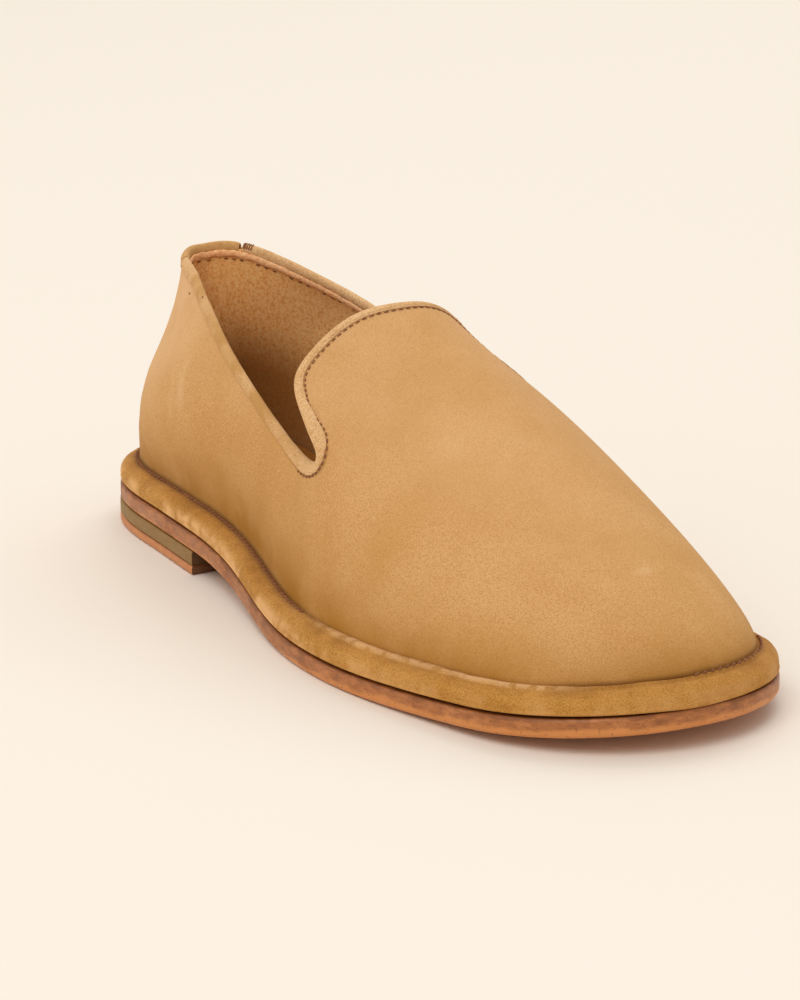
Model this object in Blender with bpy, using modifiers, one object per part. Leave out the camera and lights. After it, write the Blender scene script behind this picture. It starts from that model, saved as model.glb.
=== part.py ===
# Suede slip-on loafer for the right foot, standing empty on its sole.
#
# Sizes are in millimetres until a mesh is made. "Along" runs from the back of the heel
# to the toe, "across" from the lateral side (minus) to the medial side (plus), and
# "height" up from the floor. A "turn" goes round the shoe in degrees: 0 is the back of
# the heel, 90 the lateral side, 180 the tip of the toe and 270 the medial side.

from collections import namedtuple

import bmesh
import bpy
import numpy as np
from mathutils import Vector
from mathutils.bvhtree import BVHTree

MM = 0.001
SHOE_LENGTH = 298.0
SEAT_GAP = 0.3

# Sole stack, from the floor up
HEEL_LIFT = 2.7
HEEL_SEAT = 7.7
HEEL_BREAST = 84.0
OUTSOLE = 5.6
MIDSOLE = 6.7
INSOLE = 2.5
FALL_FROM, FALL_TO = 0.275, 0.575
SPRING_FROM = 0.655
TOE_SPRING = 6.6

# Rounded ends of the sole's outline: share of the length that is rounded, and its power
HEEL_ROUND, HEEL_POWER = 0.16, 2.17
TOE_ROUND, TOE_POWER = 0.15, 2.14

# Upper, its binding and its heel tab. The gap under these strips clears the bends of the throat
LEDGE = 6.5
WALL = 1.8
LASTING_EDGE = 1.2
INSOLE_CLEARANCE = 0.9
BINDING = 0.9
BINDING_OUTSIDE, BINDING_INSIDE = 1.9, 1.2
TAB = 0.9
TAB_OUTSIDE, TAB_INSIDE = 3.4, 1.4
TAB_COLUMNS = 5
STRIP_GAP = 0.45
BINDING_END = 0.2

# How the leather settles round the throat: turns of the two notches, their reach, and the passes
THROAT_TURNS = (110.0, 256.0)
THROAT_REACH = 16.0
SETTLE_PASSES = 40

# Steps of the meshes, and how far off the wall a strip's leg is set out from
COLUMNS = 88
SIDE_CROWDING = 0.25
ROWS = 15
FINE_ROWS = 43
HEEL_STEPS = 40
LEG_STEP = 3.2
LEG_VIEW = 4.0
CROWN_ANGLES = (45, 90, 135)

SoleSection = namedtuple("SoleSection", "share half_width centre")
SOLE_SECTIONS = (
    SoleSection(0.00, 37.0, 0.0),
    SoleSection(0.12, 35.5, 1.0),
    SoleSection(0.25, 34.5, -4.2),
    SoleSection(0.38, 34.5, -9.8),
    SoleSection(0.52, 45.0, -10.5),
    SoleSection(0.66, 55.5, -5.0),
    SoleSection(0.80, 52.0, -3.2),
    SoleSection(1.00, 44.0, -0.4),
)

# One row for each section round the upper. The topline point is where its edge ends.
# The foot leans outward by foot_lean degrees, the top runs off towards heading (0 is the
# toe, 90 the medial side) and rises by rise degrees. The reaches say how far each holds.
UpperSection = namedtuple(
    "UpperSection",
    "name turn top_along top_across top_height foot_lean foot_reach heading rise top_reach",
)
UPPER_SECTIONS = (
    UpperSection("heel_back", 0, 17.5, 1.8, 89.0, -12.0, 26.5, 0, 78, 25.5),
    UpperSection("heel_lateral", 32, 35.0, -14.0, 90.5, -1.0, 32.0, 68, 79, 30.0),
    UpperSection("quarter_lateral", 52, 67.0, -23.7, 84.1, 14.0, 23.7, 80, 61, 24.0),
    UpperSection("waist_lateral", 68, 96.0, -32.0, 73.8, 9.5, 18.0, 84, 73, 15.7),
    UpperSection("notch_lateral", 95, 154.2, -39.4, 53.4, 4.0, 17.0, 120, 65, 12.0),
    UpperSection("throat_lateral", 107, 157.2, -41.4, 61.2, -2.0, 20.0, 176, 31, 14.0),
    UpperSection("vamp_lateral", 125, 142.5, -37.4, 72.8, -6.0, 20.0, 174, 28, 28.0),
    UpperSection("toe_lateral", 148, 135.0, -20.2, 87.0, -12.0, 20.0, 182, 34, 52.0),
    UpperSection("toe", 180, 139.5, -0.7, 93.4, -7.0, 15.5, 180, 31, 60.0),
    UpperSection("toe_medial", 213, 138.0, 18.0, 88.4, -15.0, 17.5, 180, 22, 49.5),
    UpperSection("vamp_medial", 239, 139.5, 33.5, 72.6, 9.0, 26.0, 184, 13, 30.0),
    UpperSection("throat_medial", 259, 154.5, 38.5, 58.5, 11.0, 25.0, 200, 22, 13.0),
    UpperSection("notch_medial", 268, 150.5, 34.5, 52.8, 13.0, 16.5, 260, 65, 13.5),
    UpperSection("waist_medial", 292, 95.5, 34.0, 70.5, 12.0, 18.0, 276, 73, 15.7),
    UpperSection("quarter_medial", 308, 62.0, 30.0, 79.8, 12.0, 23.6, 280, 60, 24.2),
    UpperSection("heel_medial", 328, 34.5, 16.5, 89.2, -4.0, 32.0, 292, 79, 30.0),
)

# Edge profiles of the slabs: how far in from the outline, and how far up the slab
EdgeStep = namedtuple("EdgeStep", "inset lift")
OUTSOLE_EDGE = (
    EdgeStep(0.7, 0.0),
    EdgeStep(0.0, 0.9),
    EdgeStep(0.0, OUTSOLE - 0.8),
    EdgeStep(0.6, OUTSOLE),
)
MIDSOLE_EDGE = (
    EdgeStep(1.3, 0.0),
    EdgeStep(0.4, 1.1),
    EdgeStep(0.0, 2.7),
    EdgeStep(0.5, 4.4),
    EdgeStep(1.7, 5.8),
    EdgeStep(3.4, MIDSOLE),
)
INSOLE_INSET = LEDGE + WALL + INSOLE_CLEARANCE
INSOLE_EDGE = (
    EdgeStep(INSOLE_INSET + 0.4, 0.0),
    EdgeStep(INSOLE_INSET, 0.6),
    EdgeStep(INSOLE_INSET, INSOLE - 0.6),
    EdgeStep(INSOLE_INSET + 0.8, INSOLE),
)
HEEL_EDGE_ROUND = 0.5


def spline(knots, values, at):
    """Natural cubic through the values, one for each knot."""
    last = len(knots) - 1
    span = np.diff(knots)
    system = np.eye(last + 1)
    right = np.zeros(last + 1)
    for k in range(1, last):
        system[k, k - 1:k + 2] = span[k - 1], 2 * (span[k - 1] + span[k]), span[k]
        before, after = np.diff(values[k - 1:k + 2]) / span[k - 1:k + 1]
        right[k] = 3 * (after - before)
    bend = np.linalg.solve(system, right)
    k = np.clip(np.searchsorted(knots, at) - 1, 0, last - 1)
    step = at - knots[k]
    slope = (values[k + 1] - values[k]) / span[k] - span[k] * (2 * bend[k] + bend[k + 1]) / 3
    twist = (bend[k + 1] - bend[k]) / (3 * span[k])
    return values[k] + slope * step + bend[k] * step**2 + twist * step**3


def round_spline(knots, values, at):
    """The same, closed: the knots are turns, and the shoe repeats after 360 degrees."""
    lap = 3
    knots = np.concatenate([knots[-lap:] - 360, knots, knots[:lap] + 360])
    values = np.concatenate([values[-lap:], values, values[:lap]])
    return spline(knots, values, at)


def column_of(table, field):
    return np.array([getattr(row, field) for row in table], dtype=float)


SOLE_SHARES = column_of(SOLE_SECTIONS, "share")
UPPER_TURNS = column_of(UPPER_SECTIONS, "turn")


def share_at(turns):
    return (1 - np.cos(np.radians(turns))) / 2


def underside(share):
    """Height of the outsole's underside: heel seat, fall at the waist, flat tread, toe spring."""
    fall = np.clip((share - FALL_FROM) / (FALL_TO - FALL_FROM), 0, 1)
    spring = np.clip((share - SPRING_FROM) / (1 - SPRING_FROM), 0, 1)
    return HEEL_SEAT * (1 - fall**2 * (3 - 2 * fall)) + TOE_SPRING * spring**2


def outline(turns):
    """The sole's outline seen from above, as along and across."""
    share = share_at(turns)
    heel = np.clip(1 - share / HEEL_ROUND, 0, 1)
    toe = np.clip((share - 1 + TOE_ROUND) / TOE_ROUND, 0, 1)
    rounding = (1 - heel**HEEL_POWER) ** (1 / HEEL_POWER) * (1 - toe**TOE_POWER) ** (1 / TOE_POWER)
    side = np.where(np.sin(np.radians(turns)) >= 0, -1, 1)
    half = spline(SOLE_SHARES, column_of(SOLE_SECTIONS, "half_width"), share) * rounding
    centre = spline(SOLE_SHARES, column_of(SOLE_SECTIONS, "centre"), share)
    return np.stack([SHOE_LENGTH * share, centre + side * half], axis=-1)


def outward(turns):
    """Unit vectors square to the outline, pointing away from the shoe."""
    nudge = 0.05
    run = outline(turns + nudge) - outline(turns - nudge)
    away = np.stack([run[:, 1], -run[:, 0]], axis=-1)
    return away / np.linalg.norm(away, axis=1, keepdims=True)


def ring(turns, inset, lift):
    """A line round the shoe, inset from the outline and lifted above the outsole's underside."""
    flat = outline(turns) - inset * outward(turns)
    height = underside(flat[:, 0] / SHOE_LENGTH) + lift
    return np.column_stack([flat, height])


def evenly(count):
    return np.arange(count) * 360 / count


def crowded(turns):
    """The same turns drawn together towards the sides, where the topline bends most."""
    return turns + SIDE_CROWDING * np.degrees(np.sin(np.radians(2 * turns))) / 2


ALL_TURNS = crowded(evenly(COLUMNS))
WIDEST = outline(evenly(720))
ORIGIN = np.array([SHOE_LENGTH / 2, (WIDEST[:, 1].min() + WIDEST[:, 1].max()) / 2, 0.0])


def mesh_object(name, points, faces, material, collection):
    """A named object from points in millimetres, with its faces turned outward."""
    mesh = bpy.data.meshes.new(name)
    mesh.from_pydata(((np.asarray(points) - ORIGIN) * MM).tolist(), [], faces)
    shape = bmesh.new()
    shape.from_mesh(mesh)
    bmesh.ops.recalc_face_normals(shape, faces=shape.faces)
    shape.to_mesh(mesh)
    shape.free()
    mesh.shade_smooth()
    mesh.materials.append(material)
    piece = bpy.data.objects.new(name, mesh)
    collection.objects.link(piece)
    return piece


def bridge(rings, size, closed):
    """Quads between each ring of points and the next."""
    faces = []
    count = size if closed else size - 1
    for r in range(rings - 1):
        for i in range(count):
            j = (i + 1) % size
            low, high = r * size, (r + 1) * size
            faces.append((low + i, low + j, high + j, high + i))
    return faces


def rungs(first, size):
    """A lid over a ring: strips from each point to the one across the shoe."""
    half = size // 2
    faces = [(first, first + 1, first + size - 1)]
    for i in range(1, half - 1):
        faces.append((first + i, first + i + 1, first + size - i - 1, first + size - i))
    faces.append((first + half - 1, first + half, first + half + 1))
    return faces


def slab(name, base, edge, material, collection):
    """A layer of the sole that follows the underside at a height of base."""
    rings = [ring(ALL_TURNS, step.inset, base + step.lift) for step in edge]
    faces = bridge(len(rings), COLUMNS, True)
    faces += rungs(0, COLUMNS) + rungs((len(rings) - 1) * COLUMNS, COLUMNS)
    return mesh_object(name, np.concatenate(rings), faces, material, collection)


def heel_layer(name, bottom, top, material, collection):
    """A layer under the heel seat, cut off square at the breast."""
    breast_turn = np.degrees(np.arccos(1 - 2 * HEEL_BREAST / SHOE_LENGTH))
    turns = np.linspace(-breast_turn, breast_turn, HEEL_STEPS)
    rings = []
    for height, inset in (
        (bottom, HEEL_EDGE_ROUND),
        (bottom + HEEL_EDGE_ROUND, 0),
        (top - HEEL_EDGE_ROUND, 0),
        (top, HEEL_EDGE_ROUND),
    ):
        flat = outline(turns) - inset * outward(turns)
        flat[:, 0] = np.minimum(flat[:, 0], HEEL_BREAST - inset)
        rings.append(np.column_stack([flat, np.full(HEEL_STEPS, height)]))
    faces = bridge(len(rings), HEEL_STEPS, True)
    faces.append(tuple(range(HEEL_STEPS)))
    faces.append(tuple(range((len(rings) - 1) * HEEL_STEPS, len(rings) * HEEL_STEPS)))
    return mesh_object(name, np.concatenate(rings), faces, material, collection)


def unit(vectors):
    return vectors / np.linalg.norm(vectors, axis=1, keepdims=True)


def section_value(field, turns):
    return round_spline(UPPER_TURNS, column_of(UPPER_SECTIONS, field), turns)


def topline(turns):
    fields = ("top_along", "top_across", "top_height")
    return np.stack([section_value(field, turns) for field in fields], axis=-1)


def run_off(turns):
    """Direction in which the upper reaches its topline."""
    heading = np.radians(column_of(UPPER_SECTIONS, "heading"))
    rise = np.radians(section_value("rise", turns))
    ways = (np.cos(heading), np.sin(heading))
    flat = np.stack([round_spline(UPPER_TURNS, way, turns) for way in ways], axis=-1)
    return np.column_stack([unit(flat) * np.cos(rise)[:, None], np.sin(rise)])


# The topline is the crown of the binding, so the wall itself stops this far under it
EDGE_DROP = WALL / 2 + STRIP_GAP + BINDING


def upper_handles(turns):
    """Four control points for each column of the upper, from the sole to the wall's edge."""
    foot = ring(turns, LEDGE, OUTSOLE + MIDSOLE + 3 * SEAT_GAP + LASTING_EDGE)
    lean = np.radians(section_value("foot_lean", turns))
    foot_way = np.column_stack([outward(turns) * np.sin(lean)[:, None], np.cos(lean)])
    edge = topline(turns) - EDGE_DROP * edge_up(turns)
    foot_end = foot + foot_way * section_value("foot_reach", turns)[:, None]
    top_end = edge - run_off(turns) * section_value("top_reach", turns)[:, None]
    return foot, foot_end, top_end, edge


def edge_up(turns):
    """Unit vectors that run out of the upper, square to its topline."""
    nudge = 0.5
    along_edge = unit(topline(turns + nudge) - topline(turns - nudge))
    up = run_off(turns)
    return unit(up - np.sum(up * along_edge, axis=1, keepdims=True) * along_edge)


def upper_wall(turns, share):
    """The wall's outer face, at a share of the way up each column."""
    foot, foot_end, top_end, edge = upper_handles(turns)
    up = np.reshape(share, (-1, 1))
    down = 1 - up
    return down**3 * foot + 3 * down**2 * up * foot_end + 3 * down * up**2 * top_end + up**3 * edge


def settle(rows):
    """Eases the wall in and out, square to itself, where the columns crowd under the throat."""
    ease = sum(np.exp(-(((ALL_TURNS - turn) / THROAT_REACH) ** 2)) for turn in THROAT_TURNS)[:, None]
    for _ in range(SETTLE_PASSES):
        before, after = np.roll(rows, 1, axis=1), np.roll(rows, -1, axis=1)
        square = np.cross((after - before)[1:-1], rows[2:] - rows[:-2])
        square /= np.linalg.norm(square, axis=-1, keepdims=True)
        shift = (before[1:-1] + after[1:-1] + rows[:-2] + rows[2:]) / 4 - rows[1:-1]
        rows[1:-1] += ease / 2 * np.sum(shift * square, axis=-1, keepdims=True) * square
    return rows


FINE_GRID = settle(np.stack([upper_wall(ALL_TURNS, share) for share in np.linspace(0, 1, FINE_ROWS)]))


def make_upper(material, collection):
    """One wall, open at the collar and underneath, with a short upright edge on the sole."""
    rows = FINE_GRID[::(FINE_ROWS - 1) // (ROWS - 1)]
    rows = np.concatenate([rows[:1] - np.array([0, 0, LASTING_EDGE]), rows])
    faces = bridge(len(rows), COLUMNS, True)
    upper = mesh_object("upper", rows.reshape(-1, 3), faces, material, collection)
    wall = upper.modifiers.new("wall", "SOLIDIFY")
    wall.thickness = WALL * MM
    wall.offset = -1
    wall.use_quality_normals = True
    return upper


def at_stations(line, stations):
    """Points of a line round the shoe, at whole or part columns."""
    low = np.floor(stations).astype(int)
    part = (stations - low)[:, None]
    return line[low % COLUMNS] * (1 - part) + line[(low + 1) % COLUMNS] * part


def edge_strip(name, stations, leather, outside, inside, upper, material, collection):
    """A strip of leather folded over the upper's edge, with a leg down each side of the wall."""
    wall = BVHTree.FromObject(upper, bpy.context.evaluated_depsgraph_get())
    square = np.array([point.normal for point in upper.data.vertices[-COLUMNS:]])
    edge = at_stations(FINE_GRID[-1], stations)
    ahead = at_stations(FINE_GRID[-1], stations + 1) - at_stations(FINE_GRID[-1], stations - 1)
    out = unit(at_stations(square, stations))
    up = unit(np.cross(out, ahead))
    middle = edge - out * WALL / 2

    def leg(depth, side, lift):
        """Points lifted off the wall's nearest face, seen from one side of it."""
        seen_from = middle - up * depth + out * side * LEG_VIEW
        points = []
        for spot in seen_from:
            spot = Vector((spot - ORIGIN) * MM)
            nearest = wall.find_nearest(spot)[0]
            points.append(np.array(nearest + (spot - nearest).normalized() * lift * MM) / MM + ORIGIN)
        return np.array(points)

    near = WALL / 2 + STRIP_GAP
    far = near + leather
    steps = np.linspace(0, 1, 2 + int(outside // LEG_STEP))
    sections = [leg(outside * step, 1, STRIP_GAP + leather) for step in steps[::-1]]
    for angle in np.radians(CROWN_ANGLES):
        sections.append(middle + far * (out * np.cos(angle) + up * np.sin(angle)))
    sections += [leg(inside * step, -1, STRIP_GAP + leather) for step in steps]
    sections += [leg(inside * step, -1, STRIP_GAP) for step in steps[::-1]]
    sections.append(middle + near * up)
    sections += [leg(outside * step, 1, STRIP_GAP) for step in steps]
    size = len(sections)
    count = len(stations)
    faces = bridge(count, size, True)
    faces.append(tuple(range(size)))
    faces.append(tuple(range((count - 1) * size, count * size)))
    return mesh_object(name, np.stack(sections, axis=1).reshape(-1, 3), faces, material, collection)


def leather(name, red, green, blue, roughness):
    """A plain finish from an eight-bit colour."""
    shades = np.array([red, green, blue]) / 255
    linear = np.where(shades <= 0.04045, shades / 12.92, ((shades + 0.055) / 1.055)**2.4)
    material = bpy.data.materials.new(name)
    material.use_nodes = True
    surface = material.node_tree.nodes["Principled BSDF"]
    surface.inputs["Base Color"].default_value = (*linear, 1.0)
    surface.inputs["Roughness"].default_value = roughness
    surface.inputs["Metallic"].default_value = 0.0
    return material


for old in list(bpy.data.objects):
    bpy.data.objects.remove(old, do_unlink=True)

loafer = bpy.data.collections.new("loafer")
bpy.context.scene.collection.children.link(loafer)

heel_layer("heel_top_lift", 0.0, HEEL_LIFT, leather("lift leather", 172, 104, 62, 0.55), loafer)
heel_layer(
    "heel_block",
    HEEL_LIFT + SEAT_GAP,
    HEEL_SEAT - SEAT_GAP,
    leather("heel leather", 158, 118, 72, 0.6),
    loafer,
)
slab("outsole", 0.0, OUTSOLE_EDGE, leather("sole leather", 176, 116, 76, 0.5), loafer)
slab(
    "covered_midsole",
    OUTSOLE + SEAT_GAP,
    MIDSOLE_EDGE,
    leather("midsole suede", 196, 150, 92, 0.9),
    loafer,
)
slab(
    "insole",
    OUTSOLE + MIDSOLE + 2 * SEAT_GAP,
    INSOLE_EDGE,
    leather("insole leather", 168, 112, 60, 0.6),
    loafer,
)
upper = make_upper(leather("upper suede", 205, 160, 100, 0.92), loafer)

binding_stations = np.arange(TAB_COLUMNS, COLUMNS - TAB_COLUMNS + 1, dtype=float)
binding_stations[0] += BINDING_END
binding_stations[-1] -= BINDING_END
edge_strip(
    "topline_binding",
    binding_stations,
    BINDING,
    BINDING_OUTSIDE,
    BINDING_INSIDE,
    upper,
    leather("binding suede", 222, 182, 134, 0.9),
    loafer,
)
edge_strip(
    "heel_tab",
    np.arange(-TAB_COLUMNS, TAB_COLUMNS + 1, dtype=float),
    TAB,
    TAB_OUTSIDE,
    TAB_INSIDE,
    upper,
    leather("tab suede", 208, 164, 108, 0.92),
    loafer,
)
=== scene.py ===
import math

import bmesh
import bpy
import numpy as np
from mathutils import Matrix, Vector
from mathutils.bvhtree import BVHTree
from mathutils.kdtree import KDTree


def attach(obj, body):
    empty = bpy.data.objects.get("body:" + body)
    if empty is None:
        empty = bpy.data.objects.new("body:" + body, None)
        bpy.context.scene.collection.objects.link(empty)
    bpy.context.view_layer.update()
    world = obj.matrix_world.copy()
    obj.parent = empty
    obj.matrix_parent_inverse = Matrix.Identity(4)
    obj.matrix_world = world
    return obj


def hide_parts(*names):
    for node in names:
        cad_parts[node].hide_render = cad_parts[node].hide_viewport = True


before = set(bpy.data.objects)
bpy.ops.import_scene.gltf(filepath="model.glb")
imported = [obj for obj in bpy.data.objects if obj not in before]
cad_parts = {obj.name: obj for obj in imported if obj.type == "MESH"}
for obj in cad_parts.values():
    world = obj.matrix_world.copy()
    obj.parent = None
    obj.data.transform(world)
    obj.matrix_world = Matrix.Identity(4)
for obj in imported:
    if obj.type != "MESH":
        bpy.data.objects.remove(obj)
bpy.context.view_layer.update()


# Floor: a wide sheet of pale cream card, plain and matte, that the shoe stands on.
# It runs far past the view, so no edge or horizon shows.
def srgb(red, green, blue):
    """An eight-bit colour as the linear values that a socket takes."""
    shades = [shade / 255 for shade in (red, green, blue)]
    linear = [s / 12.92 if s <= 0.04045 else ((s + 0.055) / 1.055) ** 2.4 for s in shades]
    return (*linear, 1.0)


def add_node(tree, kind, inputs=None, **properties):
    """A node with its properties set, and its sockets given values or joined to what feeds them."""
    made = tree.nodes.new(kind)
    for name, value in properties.items():
        setattr(made, name, value)
    for name, value in (inputs or {}).items():
        if isinstance(value, bpy.types.NodeSocket):
            tree.links.new(value, made.inputs[name])
        else:
            made.inputs[name].default_value = value
    return made


def new_material(name, **sockets):
    """A material with constants on its shader's own sockets, written with _ for a space."""
    material = bpy.data.materials.new(name)
    material.use_nodes = True
    tree = material.node_tree
    shader = tree.nodes["Principled BSDF"]
    for socket, value in sockets.items():
        shader.inputs[socket.replace("_", " ")].default_value = value
    return material, tree, shader


FLOOR_SIDE = 9.0
FLOOR_DROP = 0.0002
bpy.ops.object.select_all(action="DESELECT")
bpy.ops.mesh.primitive_plane_add(size=FLOOR_SIDE, location=(0, 0, -FLOOR_DROP))
floor = bpy.context.object
floor.name = "floor"
card, card_tree, card_shader = new_material("cream card", Roughness=0.95, Specular_IOR_Level=0.1)
card_shader.inputs["Base Color"].default_value = srgb(246, 240, 231)
floor.data.materials.append(card)

# Studio: an even cream glow all round, as in a white tent, with broad soft lights overhead and
# high in front of the collar, and a weak one at the side. The camera stands in front of the
# toe's lateral side.
LIGHT_AIM = Vector((0, 0, 0.03))
LIGHT_COLOUR = (1.0, 0.97, 0.93)
GLOW = 0.62
LIGHTS = (
    ("overhead", (-1.1, 1.5, 2.4), 2.4, 26.0),
    ("front", (0.85, -1.45, 2.3), 1.8, 27.0),
    ("side", (-1.2, -1.6, 1.2), 1.8, 4.0),
)
for name, place, side, power in LIGHTS:
    bpy.ops.object.light_add(type="AREA", location=place)
    lamp = bpy.context.object
    lamp.name = name
    lamp.data.size = side
    lamp.data.energy = power
    lamp.data.color = LIGHT_COLOUR
    lamp.rotation_euler = (LIGHT_AIM - Vector(place)).to_track_quat("-Z", "Y").to_euler()
world = bpy.context.scene.world or bpy.data.worlds.new("studio")
bpy.context.scene.world = world
world.use_nodes = True
glow = world.node_tree.nodes["Background"]
glow.inputs["Color"].default_value = srgb(252, 246, 238)
glow.inputs["Strength"].default_value = GLOW
bpy.context.scene.view_settings.view_transform = "Standard"

CAMERA_PLACE = Vector((0.9127, -0.5957, 0.3485))
CAMERA_AIM = Vector((0.004, -0.003, 0.036))
bpy.ops.object.camera_add(location=CAMERA_PLACE)
camera = bpy.context.object
camera.rotation_euler = (CAMERA_AIM - CAMERA_PLACE).to_track_quat("-Z", "Y").to_euler()
camera.data.sensor_width = 36.0
camera.data.lens = 136.0
bpy.context.scene.camera = camera

# Heel top lift: the bottom layer of the heel, a flat piece of orange-tan sole leather with a
# waxed edge, glued and nailed under the heel block.
MM = 0.001
EDGE_ROUNDING = 0.3 * MM


def select_only(piece):
    """Leaves one object selected and active."""
    bpy.ops.object.select_all(action="DESELECT")
    piece.select_set(True)
    bpy.context.view_layer.objects.active = piece


def copy_of(node, name):
    """A new piece that starts as a merged copy of a solid of the frame."""
    piece = bpy.data.objects.new(name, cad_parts[node].data.copy())
    piece.data.materials.clear()
    bpy.context.scene.collection.objects.link(piece)
    select_only(piece)
    if piece.data.has_custom_normals:
        bpy.ops.mesh.customdata_custom_splitnormals_clear()
    bpy.ops.object.mode_set(mode="EDIT")
    bpy.ops.mesh.select_all(action="SELECT")
    bpy.ops.mesh.remove_doubles(threshold=0.001 * MM)
    bpy.ops.mesh.tris_convert_to_quads(
        face_threshold=math.radians(70),
        shape_threshold=math.radians(150),
        topology_influence=1.0,
    )
    bpy.ops.object.mode_set(mode="OBJECT")
    return piece


def apply_modifier(piece, kind, **settings):
    """Adds a modifier and applies it."""
    step = piece.modifiers.new(kind.lower(), kind)
    for name, value in settings.items():
        setattr(step, name, value)
    select_only(piece)
    bpy.ops.object.modifier_apply(modifier=step.name)


def round_edges(piece, width, segments, angle):
    """Rounds the edges that turn by more than an angle in degrees."""
    apply_modifier(
        piece,
        "BEVEL",
        width=width,
        segments=segments,
        limit_method="ANGLE",
        angle_limit=math.radians(angle),
    )


def fit_piece(piece, material, slot, *nodes):
    """Gives a finished piece its material and its body, and hides the solids that it stands for;
    slot is not used.
    """
    piece.data.materials.append(material)
    select_only(piece)
    bpy.ops.object.shade_smooth_by_angle(angle=math.radians(50))
    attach(piece, "root")
    if nodes:
        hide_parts(*nodes)


def mix_colours(tree, share, low, high, blend="MIX"):
    """A mix of two colours, as an output socket."""
    mixed = add_node(
        tree, "ShaderNodeMix", {0: share, 6: low, 7: high}, data_type="RGBA", blend_type=blend
    )
    return mixed.outputs[2]


def calculate(tree, operation, first, second=0.0):
    """One step of arithmetic, as an output socket."""
    return add_node(tree, "ShaderNodeMath", {0: first, 1: second}, operation=operation).outputs[0]


def between(tree, value, low, high, start=0.0, end=1.0):
    """A value taken from low..high to start..end, smoothly and without running past either."""
    made = add_node(
        tree,
        "ShaderNodeMapRange",
        {"Value": value, "From Min": low, "From Max": high, "To Min": start, "To Max": end},
        interpolation_type="SMOOTHSTEP",
    )
    return made.outputs["Result"]


def noise(tree, where, scale, detail=2.0, roughness=0.55):
    """A noise pattern's strength at a place."""
    settings = {"Vector": where, "Scale": scale, "Detail": detail, "Roughness": roughness}
    return add_node(tree, "ShaderNodeTexNoise", settings).outputs["Fac"]


def object_place(tree):
    """The place on the piece, in metres."""
    return add_node(tree, "ShaderNodeTexCoord").outputs["Object"]


def stretched(tree, where, scale, turn=(0.0, 0.0, 0.0)):
    """A place stretched and turned, so that a pattern runs one way."""
    settings = {"Vector": where, "Scale": scale, "Rotation": turn}
    return add_node(tree, "ShaderNodeMapping", settings).outputs["Vector"]


def add_bump(tree, shader, height, strength, depth):
    """Relief from a pattern of heights, joined to the shader."""
    settings = {"Strength": strength, "Distance": depth, "Height": height}
    bump = add_node(tree, "ShaderNodeBump", settings)
    tree.links.new(bump.outputs["Normal"], shader.inputs["Normal"])
    return bump


def sole_leather(name, colour, dark, light, gloss):
    """Waxed leather edge with fibres, pores and some gloss, and painted shade on the heel's breast,
    where it faces forward.
    """
    material, tree, shader = new_material(name, Specular_IOR_Level=0.4)
    place = object_place(tree)
    fibres = noise(tree, stretched(tree, place, (0.12, 0.12, 1.0)), 2600.0, 3.0)
    pores = noise(tree, place, 900.0, 2.0)
    blotch = noise(tree, place, 120.0, 3.0)
    body = mix_colours(tree, between(tree, fibres, 0.35, 0.7, 0.0, 0.4), srgb(*colour), srgb(*dark))
    body = mix_colours(tree, between(tree, blotch, 0.5, 0.75, 0.0, 0.6), body, srgb(*light))
    body = mix_colours(tree, between(tree, pores, 0.62, 0.72, 0.0, 0.5), body, srgb(*dark))
    # Painted shade: the faces that turn forward, on the heel's breast, are darkened.
    facing = add_node(tree, "ShaderNodeTexCoord").outputs["Normal"]
    forward = add_node(tree, "ShaderNodeSeparateXYZ", {0: facing}).outputs["X"]
    body = mix_colours(tree, between(tree, forward, 0.4, 0.7, 0.0, 0.85), body, srgb(74, 44, 22))
    tree.links.new(body, shader.inputs["Base Color"])
    tree.links.new(between(tree, blotch, 0.3, 0.7, gloss, gloss + 0.2), shader.inputs["Roughness"])
    height = calculate(tree, "SUBTRACT", fibres, between(tree, pores, 0.6, 0.75))
    add_bump(tree, shader, height, 0.25, 0.0002)
    return material


top_lift = copy_of("heel_top_lift", "heel_lift")
round_edges(top_lift, EDGE_ROUNDING, 3, 40)
lift_leather = sole_leather("lift leather", (208, 138, 86), (166, 98, 54), (232, 174, 120), 0.45)
fit_piece(top_lift, lift_leather, "heel_top_lift", "heel_top_lift")

# Heel block: the layer between the top lift and the outsole, of olive-tan stacked leather,
# cut square at the breast and trimmed flush with the sole.
block = copy_of("heel_block", "heel_stack")
round_edges(block, EDGE_ROUNDING, 3, 40)
block_leather = sole_leather("heel leather", (152, 118, 66), (122, 90, 46), (170, 136, 84), 0.5)
fit_piece(block, block_leather, "heel_block", "heel_block")

# Outsole: a leather sole, stitched from inside and trimmed round its edge. The edge is stained
# red-brown, waxed, and worn to a lighter orange along its lower corner.
SOLE_LENGTH = 0.298
HEEL_SEAT = 0.0077
TOE_SPRING = 0.0066
OUTSOLE_THICKNESS = 0.0056
OUTSOLE_ROUNDING = 0.35 * MM
FALL_START, FALL_RUN = 0.275, 0.3
SPRING_START, SPRING_RUN = 0.655, 0.345


def sole_rise(x):
    """Height of the outsole's underside over the floor: heel seat, waist, tread, toe spring."""
    share = x / SOLE_LENGTH + 0.5
    fall = np.clip((share - FALL_START) / FALL_RUN, 0, 1)
    spring = np.clip((share - SPRING_START) / SPRING_RUN, 0, 1)
    return HEEL_SEAT * (1 - fall**2 * (3 - 2 * fall)) + TOE_SPRING * spring**2


def points_of(piece):
    """The places of a mesh's points, one row each."""
    flat = np.empty(len(piece.data.vertices) * 3)
    piece.data.vertices.foreach_get("co", flat)
    return flat.reshape(-1, 3)


def normals_of(piece):
    """The way that each point of a mesh faces."""
    flat = np.empty(len(piece.data.vertices) * 3)
    piece.data.vertices.foreach_get("normal", flat)
    return flat.reshape(-1, 3)


def set_points(piece, points):
    """Moves a mesh's points to new places."""
    piece.data.vertices.foreach_set("co", points.reshape(-1))
    piece.data.update()


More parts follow.
